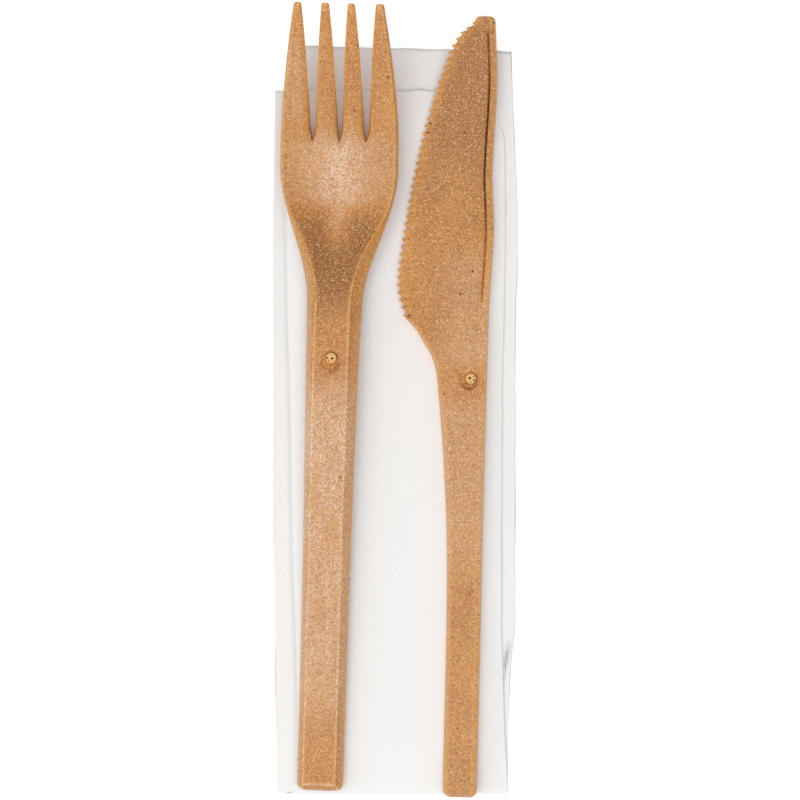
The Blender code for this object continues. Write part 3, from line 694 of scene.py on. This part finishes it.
knifeHaze = {
    # how strong the flow marks are in each part, and for the rest of the blade how dark it is
    "end": 0.12, "grip": 0.35, "bladeStart": 0.48, "blade": 0.65,
    # how dark the painted shade in the groove is by the heel and further on, how much less at the
    # tip, and in the nick
    "groove": (1.1, 2.0), "grooveFades": 1.5, "nick": 1.4,
}


def buildKnife(material):
    size = knifeSizes
    handle, blade, back = size["handle"], size["blade"], size["back"]
    length = handle + blade
    bladeEnd = length - size["tipRound"]
    height, wall = size["height"], size["wall"]
    backAt = curveThrough([
        (0.0, size["endWidth"] / 2), (handle * 0.6, size["endWidth"] / 2 * 0.8),
        (handle, back - size["notch"] * 0.15), (handle + blade * 0.28, back + size["notch"] * 0.6),
        (handle + blade * 0.49, back - size["notch"] * 0.6), (handle + blade * 0.76, back),
        (length, back - size["notch"] * 1.5)])
    grip = size["waist"] - back
    gripAt = curveThrough([
        (0.0, size["endWidth"] / 2),
        (handle * 0.42, size["endWidth"] / 2 + size["waist"] * 0.05), (handle * 0.88, grip),
        (handle * 0.925, grip + (size["heel"] - size["waist"]) * 0.33),
        (handle * 0.94, grip + (size["heel"] - size["waist"]) * 0.56),
        (handle * 0.97, grip + (size["heel"] - size["waist"]) * 0.95), (handle, size["heel"])])
    belly = size["belly"]
    edgeAt = curveThrough([
        (handle, size["heel"]), (handle + blade * 0.10, belly),
        (handle + blade * 0.30, belly * 0.93), (handle + blade * 0.55, belly * 0.785),
        (handle + blade * 0.845, belly * 0.504), (handle + blade * 0.94, belly * 0.339),
        (bladeEnd, size["tip"] - back + size["notch"] * 1.5)])

    # places down the left side: the handle, the teeth, then the rounded tip
    marks = []
    for at in spaced(0.0, size["flankLeft"], 6) + spaced(size["flankLeft"], 2 * wall, 5)[1:] \
            + spaced(2 * wall, handle * 0.84, 40)[1:] + spaced(handle * 0.84, handle - 0.9, 40)[1:]:
        marks.append((Vector((-gripAt(at) + roundOff(at, size["endCorner"]), at)), at, 0.0))
    walk = 0.05
    at, gone = handle, 0.0
    last = Vector((-edgeAt(at), at))
    tips = [last]
    while at + walk < bladeEnd:
        at += walk
        point = Vector((-edgeAt(at), at))
        gone += (point - last).length
        last = point
        if gone >= size["toothPitch"]:
            gone = 0.0
            tips.append(point)
    toothSteps = 8
    for tip, following in zip(tips, tips[1:]):
        for i in range(toothSteps):
            bite = size["toothDepth"] * math.sin(math.pi * i / toothSteps) ** 0.8
            point = mix(tip, following, i / toothSteps) + Vector((bite, 0.0))
            marks.append((point, point.y, bite))
    marks.append((tips[-1], tips[-1].y, 0.0))
    for angle in (0, 18, 36, 54, 72, 90):
        at = bladeEnd + size["tipRound"] * math.sin(math.radians(angle))
        corner = size["tipRound"] * (1 - math.cos(math.radians(angle)))
        marks.append((Vector((-edgeAt(bladeEnd) + corner, at)), at, 0.0))

    faceCells = 10
    columns = faceCells + 10

    def place(row, col, side, inner):
        left, at, bite = marks[row]
        right = backAt(min(at, bladeEnd)) - roundOff(at, size["endCorner"])
        if at > bladeEnd:
            across = size["tipRound"] ** 2 - (at - bladeEnd) ** 2
            right -= size["tipRound"] - math.sqrt(max(across, 0.0))
        width = right - left.x
        down = ease(handle - size["ramp"] / 2, size["ramp"], at)
        top = mix(height, size["face"], down)
        rise = max(size["face"] + size["ribRise"] - top, 0.0)
        rise *= 1.0 - ease(length - 4.0, 1.6, at)
        share = min(0.2 + 0.8 * at / size["flankLeft"], 1.0)
        top *= share
        blend = ease(handle, size["toothPitch"] * 2, at) if at >= handle else 0.0
        lip = mix(top, size["edge"], blend)
        bevel = mix(size["flankLeft"] * share, size["bevel"] + size["toothDepth"] - bite, blend)
        bevel = min(bevel, width * 0.35)
        rib = min(size["rib"], width * 0.35)
        step = min(size["ribStep"], width * 0.08)
        flank = min(size["flankRight"] * (top + rise) / height, width * 0.1)
        if inner:
            foot = min(wall * 0.8, width * 0.3)
            hollow = ease(wall, wall, at) - ease(handle * 0.78, wall * 4, at)
            roof = max(height - wall, 0.0) * max(hollow, 0.0)
            inset = [foot * 0.6, foot, foot + wall * 0.2]
            if col <= 2:
                u = inset[col]
            elif col >= columns - 2:
                u = width - inset[columns - col]
            else:
                u = mix(inset[2], width - inset[2], (col - 2) / (columns - 4))
            z = roof if 2 <= col <= columns - 2 else 0.0
            return Vector((left.x + u, at, z)) * mm, 0.0, 0.0
        soft = 0.12 * min(share, 1.0)
        lipIn = 0.0 if lip < top else bevel
        spots = [(0.0, 0.0), (lipIn * 0.97, lip - soft), (lipIn + soft, lip)]
        edgeLights = [1.0, mix(0.8, 1.0, blend), mix(0.5, 0.9, blend)]
        faceStart = bevel + 2.5 * soft
        groove = min(size["groove"], width * 0.1)
        sunk = size["grooveDepth"] * min(rise / size["ribRise"], 1.0)
        faceEnd = width - rib - step - groove
        spots += [(faceStart, top)]
        edgeLights += [0.15]
        spots += [(mix(faceStart, faceEnd, (i + 1) / faceCells), top) for i in range(faceCells)]
        edgeLights += [0.0] * faceCells
        spots += [(faceEnd + groove, top - sunk), (width - rib - step * 0.3, top + rise * 0.7),
                  (width - rib, top + rise), (width - flank - soft, top + rise),
                  (width - flank * 0.8, top + rise - soft), (width, 0.0)]
        edgeLights += [0.0, 0.1, 0.4, 0.4, 0.9, 1.0]
        u, z = spots[col]
        deep = sunk / size["grooveDepth"]
        # the groove is shallower by the heel, with lighter painted shade there, fading out towards
        # the tip; the step and the rib's foot get a little painted shade
        dark = mix(*knifeHaze["groove"], ease(118.0, 10.0, at))
        dark -= knifeHaze["grooveFades"] * ease(length - 24.0, 19.0, at)
        sheen = {columns - 6: -dark, columns - 5: -0.5, columns - 4: -0.4}.get(col, 0.0) * deep
        return Vector((left.x + u, at, z)) * mm, edgeLights[col], sheen

    def haze(u, at):
        # hazy along the middle of the grip and where the blade starts, dark on the blade
        grip = knifeHaze["grip"] * ease(42.0, 14.0, at) * (1.0 - ease(80.0, 5.0, at))
        grip = (grip + knifeHaze["end"]) * (1.0 - ease(84.0, 6.0, at))
        start = knifeHaze["bladeStart"] * ease(88.0, 5.0, at) * (1.0 - ease(106.0, 14.0, at))
        far = knifeHaze["blade"] * ease(length - 52.0, 34.0, at)
        return max(grip, start * math.exp(-(u / 8.0) ** 2)) - far

    knife = mouldedShell("knife_moulding", columns - 1, len(marks) - 1, place, haze)
    cutGate(knife, -size["gateLeft"], size["gate"], height, size["gateLean"],
            math.radians(size["gateTurn"]))
    # nick beside the corner of the heel, with painted shade in it
    shape = bmesh.new()
    corner = Vector((-size["heel"] + 1.0, handle - 0.3, size["face"] + 0.75)) * mm
    nick = Matrix.Translation(corner) @ Matrix.Rotation(math.radians(size["nickTurn"]), 4, "Z")
    bmesh.ops.create_cube(shape, size=mm, matrix=nick @ Matrix.Diagonal((*size["nick"], 1.0)))
    cutAway(knife, pieceFrom(shape, "nick"))
    darken(knife, corner.xy / mm, 1.0, size["face"] + 0.1, -knifeHaze["nick"])
    layDown(knife, "knife", math.radians(size["turn"]), 0.0)
    finishMoulding(knife, "knife", material, 0.08)


# Napkin, in mm: folded into six leaves across, then once across the middle

napkinSizes = {
    "flatWidth": 288.0, "flatLength": 303.0,
    "leaf": 0.2, "leaves": 6, "paper": 0.05, "nose": 2.3,
    "foldAt": -80.25,          # the middle of the turn near the handle ends
    "underEnd": 74.9, "overEnd": 65.5,
    "slant": 0.026,            # how far the under end slopes to the right, per mm
    "wave": 0.03,              # soft unevenness, as a share of the height
    "pressed": 0.5, "pressedRun": 6.0,       # how flat the folds are, and how far in
    "valley": 0.12,            # dip along the cut edge of the top leaf
    "bulge": 0.45,             # how far a turn stands out, as a share of the leaf's height
    "stray": 0.25,             # mm that a leaf's edges wander
    "lifts": (-0.2, 0.11),     # the least and the most that dips and wrinkles add, as a share
}

napkinSlit = {
    # the small torn fold at the right edge: from x, y over a run, with its width and the grey of
    # the painted shade in it
    "x": (22.5, 23.8), "y": -58.9, "run": 8.5, "width": (0.25, 0.55), "grey": 0.8,
}

napkinCells = {
    # (from, to, cells) along the leaf's way from left to right, closer where it shows and bends
    "top": [(0.0, 0.004, 1), (0.004, 0.04, 4), (0.04, 0.88, 44), (0.88, 0.996, 9), (0.996, 1.0, 1)],
    "second": [(0.0, 0.004, 1), (0.004, 0.12, 12), (0.12, 0.88, 5), (0.88, 0.996, 7),
               (0.996, 1.0, 1)],
    "hidden": [(0.0, 0.004, 1), (0.004, 0.12, 7), (0.12, 0.88, 5), (0.88, 0.996, 7),
               (0.996, 1.0, 1)],
    "bottom": [(0.0, 0.004, 1), (0.004, 0.12, 8), (0.12, 0.88, 22), (0.88, 0.996, 16),
               (0.996, 1.0, 1)],
}

napkinEdges = {
    # places of the long edges along the strip, as (y, x)
    "underLeft": [(-82.0, -24.9), (0.0, -24.4), (40.0, -23.6), (74.6, -22.4)],
    "underRight": [(-79.2, 23.4), (-62.4, 23.7), (-54.0, 24.2), (-45.6, 25.0), (-20.5, 25.0),
                   (13.1, 25.1), (21.5, 25.2), (29.9, 25.6), (46.7, 25.2), (63.4, 24.6),
                   (74.6, 24.1)],
    "overLeft": [(-81.5, -24.9), (-62.4, -25.1), (-41.5, -25.4), (-12.1, -25.75), (21.5, -25.75),
                 (42.0, -25.55), (65.5, -25.3)],
    "overRight": [(-82.2, 23.5), (-62.4, 22.5), (-45.6, 22.1), (0.5, 22.2), (21.5, 22.7),
                  (42.5, 22.9), (54.6, 22.7), (60.9, 20.8), (65.5, 19.8)],
    "topLeafLeft": [(-81.5, -20.7), (-58.2, -21.0), (-45.6, -21.4), (-26.8, -22.0), (0.5, -22.4),
                    (19.4, -23.0), (65.5, -23.5)],
}

napkinWrinkles = [
    # from x, y to x, y, then the width and the height as a share of the napkin's, under 0 a dent
    (-20.9, 24.6, -18.8, 25.0, 0.5, 0.08),
    (-20.9, 22.3, -18.7, 22.9, 0.5, 0.08),
    (-21.0, 20.0, -18.8, 20.3, 0.5, 0.09),
    (-21.0, 17.6, -18.9, 18.1, 0.5, 0.08),
    (-20.8, 15.2, -18.9, 15.4, 0.5, 0.08),
    (-20.8, 12.6, -19.0, 12.9, 0.5, 0.07),
    (-22.2, -8.6, -19.4, -8.2, 0.5, 0.09),
    (-22.0, -26.2, -19.0, -25.6, 0.6, 0.07),
    (24.8, 21.5, 22.9, 11.0, 0.6, 0.12),
    (23.8, -50.4, 22.5, -58.6, 0.4, -0.2),
    (24.6, -49.5, 23.0, -57.5, 0.4, 0.1),
    (-2.6, 0.5, -2.2, -33.0, 0.7, 0.04),
    (-0.4, 1.0, -0.3, -33.0, 0.7, -0.03),
    (3.8, 64.0, 3.9, 51.0, 0.6, 0.05),
    (21.9, 40.0, 21.6, -30.0, 0.5, 0.04),
    (-17.4, 74.6, -18.9, 71.2, 0.5, 0.14),
    (-18.2, 74.6, -19.7, 71.2, 0.4, -0.16),
    (1.4, 65.9, 4.8, 67.8, 0.35, -0.12),
    (2.6, 65.8, 5.4, 67.2, 0.3, 0.1),
]


def buildNapkin(material):
    size = napkinSizes
    edge = {name: curveThrough(points) for name, points in napkinEdges.items()}
    leaf, leaves = size["leaf"], size["leaves"]
    half = leaf * leaves

    # across: leaf after leaf, to and fro, with a rounded turn between two
    across = []
    for n in range(leaves):
        ways = [0.0]
        kind = {0: "top", 1: "second", leaves - 1: "bottom"}.get(n, "hidden")
        for start, end, cells in napkinCells[kind]:
            ways += spaced(start, end, cells)[1:]
        if n % 2:
            ways = ways[::-1]
        across += [(n, way, (n + 0.5) * leaf, 0.0) for way in ways]
        if n < leaves - 1:
            across.append((n, 1.0 - n % 2, (n + 1.0) * leaf, size["bulge"] * leaf))

    # along: down the under half to the fold, round it, and back over the top
    along = [("under", at) for at in spaced(size["underEnd"], size["overEnd"] - 4.0, 16)[:-1]]
    along += [("under", at) for at in spaced(size["overEnd"] - 4.0, size["foldAt"], 56)]
    along += [("turn", angle) for angle in spaced(0.0, 180.0, 10)[1:-1]]
    along += [("over", at) for at in spaced(size["foldAt"], size["overEnd"] - 2.0, 122)[:-1]]
    along += [("over", at) for at in spaced(size["overEnd"] - 2.0, size["overEnd"], 5)]

    def creaseShading(x, y, n, over):
        # painted shade in the sharpest creases: along the top leaf's cut edge and in the slit
        past = x - edge["topLeafLeft"](y)
        grey = 0.0
        if over == 1.0 and n < 2:
            grey = 0.25 * math.exp(-(past / (0.5 if past < 0.0 else 0.25)) ** 2)
        if over == 0.0 and n == leaves - 1:
            slit = napkinSlit
            share = min(max((y - slit["y"]) / slit["run"], 0.0), 1.0)
            away = (x - mix(*slit["x"], share)) / mix(*slit["width"], share)
            grey = slit["grey"] * math.exp(-away ** 2)
            grey *= ease(slit["y"] - 0.4, 0.8, y) * (1.0 - ease(slit["y"] + 7.4, 2.0, y))
        return grey

    def lift(x, y):
        # how far the tissue stands above its flat place, as a share of the height
        total = size["wave"] * noise.noise(Vector((x * 0.09, y * 0.05, 1.5)))
        total += size["wave"] * 0.6 * noise.noise(Vector((x * 0.4, y * 0.015, 7.5)))
        past = x - edge["topLeafLeft"](y)
        total -= size["valley"] * math.exp(-(past / (1.3 if past < 0.0 else 0.5)) ** 2)
        spot = Vector((x, y))
        for x0, y0, x1, y1, width, height in napkinWrinkles:
            start, run = Vector((x0, y0)), Vector((x1 - x0, y1 - y0))
            share = min(max((spot - start).dot(run) / run.length_squared, 0.0), 1.0)
            away = (spot - start - run * share).length
            if away < 3.0 * width:
                total += height * math.exp(-(away / width) ** 2)
        return max(min(total, size["lifts"][1]), size["lifts"][0])

    shape = bmesh.new()
    grey = shape.verts.layers.float.new("creaseShade")
    bmesh.ops.create_grid(shape, x_segments=len(across) - 1, y_segments=len(along) - 1, size=1.0)
    for vert in shape.verts:
        col = round((vert.co.x + 1.0) / 2 * (len(across) - 1))
        row = round((vert.co.y + 1.0) / 2 * (len(along) - 1))
        n, way, z, bulge = across[col]
        part, at = along[row]
        y = at
        over = 1.0 if part == "over" else 0.0
        if part == "turn":
            over = at / 180.0
            reach = (half - z) * size["nose"] / half
            y = size["foldAt"] - reach * math.sin(math.radians(at))
            z = half - (half - z) * math.cos(math.radians(at))
        elif part == "over":
            z = 2 * half - z
        left = mix(edge["underLeft"](y), edge["overLeft"](y), over)
        if n == 0:
            left = mix(left, edge["topLeafLeft"](y), ease(0.0, 1.0, over) if over else 0.0)
        right = mix(edge["underRight"](y), edge["overRight"](y), over)
        stray = noise.noise(Vector((n * 3.7, y * 0.06, over * 5.0))) * size["stray"]
        x = mix(left + stray, right - stray, way) + (bulge if way > 0.5 else -bulge)
        if part == "under":
            y -= size["slant"] * (x + 20.0) * ease(60.0, 12.0, y)
        if row in (0, len(along) - 1):
            y += noise.noise(Vector((x * 0.3, n * 2.3, over * 4.0))) * 0.5
        # pressed flatter towards the folds and the free ends
        run, least = size["pressedRun"], size["pressed"]
        sides = (edge["underLeft"](y), edge["underRight"](y))
        flat = mix(least, 1.0, ease(0.0, run, min(x - sides[0], sides[1] - x)))
        flat *= mix(least, 1.0, ease(0.0, run, size["underEnd"] - y))
        sides = (edge["overLeft"](y), edge["overRight"](y))
        flatOver = mix(least, 1.0, ease(0.0, run, min(x - sides[0], sides[1] - x)))
        flatOver *= mix(least, 1.0, ease(0.0, run, size["overEnd"] - y))
        z = min(z, half) * flat + max(z - half, 0.0) * flatOver
        z *= mix(0.65, 1.0, ease(size["foldAt"] - size["nose"], 2 * run, y))
        z *= 1.0 + lift(x, y) * (2.0 - over)
        vert.co = Vector((x, y, z)) * mm
        vert[grey] = creaseShading(x, y, n, over)
    bmesh.ops.recalc_face_normals(shape, faces=shape.faces[:])
    napkin = pieceFrom(shape, "napkin_tissue")
    paper = napkin.modifiers.new("paper", "SOLIDIFY")
    paper.thickness = size["paper"] * mm
    paper.offset = 0.0
    napkin.data.materials.append(material)
    napkin.data.shade_smooth()
    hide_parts("napkin")
    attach(napkin, "root")


# Camera, light and floor

cameraSizes = {
    # mm; frame is how much the picture shows across at the height of plane
    "x": 0.88, "y": 0.5, "z": 1204.0, "frame": 167.84, "plane": 4.0, "sensor": 36.0,
}

lightSizes = {
    # metres and watts; the floor glows only where the camera sees it
    "world": 0.55,
    "keyPlace": (-0.22, -0.32, 0.87), "keySize": 1.3, "keyPower": 6.6,
    "floorSize": 1.5, "floor": "F4F4F4", "floorGlow": 0.45,
}


def setStage():
    size = cameraSizes
    lens = bpy.data.cameras.new("camera")
    lens.sensor_width = size["sensor"]
    lens.lens = size["sensor"] * (size["z"] - size["plane"]) / size["frame"]
    camera = bpy.data.objects.new("camera", lens)
    camera.location = Vector((size["x"], size["y"], size["z"])) * mm
    bpy.context.collection.objects.link(camera)
    bpy.context.scene.camera = camera

    light = lightSizes
    key = bpy.data.lights.new("key", "AREA")
    key.size = light["keySize"]
    key.energy = light["keyPower"]
    lamp = bpy.data.objects.new("key", key)
    lamp.location = light["keyPlace"]
    lamp.rotation_euler = lamp.location.to_track_quat("Z", "Y").to_euler()      # at the middle
    bpy.context.collection.objects.link(lamp)

    world = bpy.data.worlds.new("studio")
    world.use_nodes = True
    world.node_tree.nodes["Background"].inputs["Color"].default_value = (1, 1, 1, 1)
    world.node_tree.nodes["Background"].inputs["Strength"].default_value = light["world"]
    bpy.context.scene.world = world

    shape = bmesh.new()
    bmesh.ops.create_grid(shape, x_segments=1, y_segments=1, size=light["floorSize"])
    floor = pieceFrom(shape, "floor")
    made, tree = newMaterial("whiteFloor")
    seen = addNode(tree, "ShaderNodeLightPath").outputs["Is Camera Ray"]
    glow = addNode(tree, "ShaderNodeMath", {0: seen, 1: light["floorGlow"]},
                   operation="MULTIPLY")
    shader = addNode(tree, "ShaderNodeBsdfPrincipled",
                     {"Base Color": linear(light["floor"]), "Roughness": 0.9,
                      "Emission Color": (1, 1, 1, 1), "Emission Strength": glow.outputs[0]})
    addNode(tree, "ShaderNodeOutputMaterial", {"Surface": shader.outputs[0]})
    floor.data.materials.append(made)
    bpy.context.scene.view_settings.view_transform = "Standard"


setStage()
print("stage set")
plastic = woodFilledPlastic()
tissue = tissuePaper()
print("materials mixed")
buildFork(plastic)
print("fork moulded")
buildKnife(plastic)
print("knife moulded")
buildNapkin(tissue)
print("napkin folded")
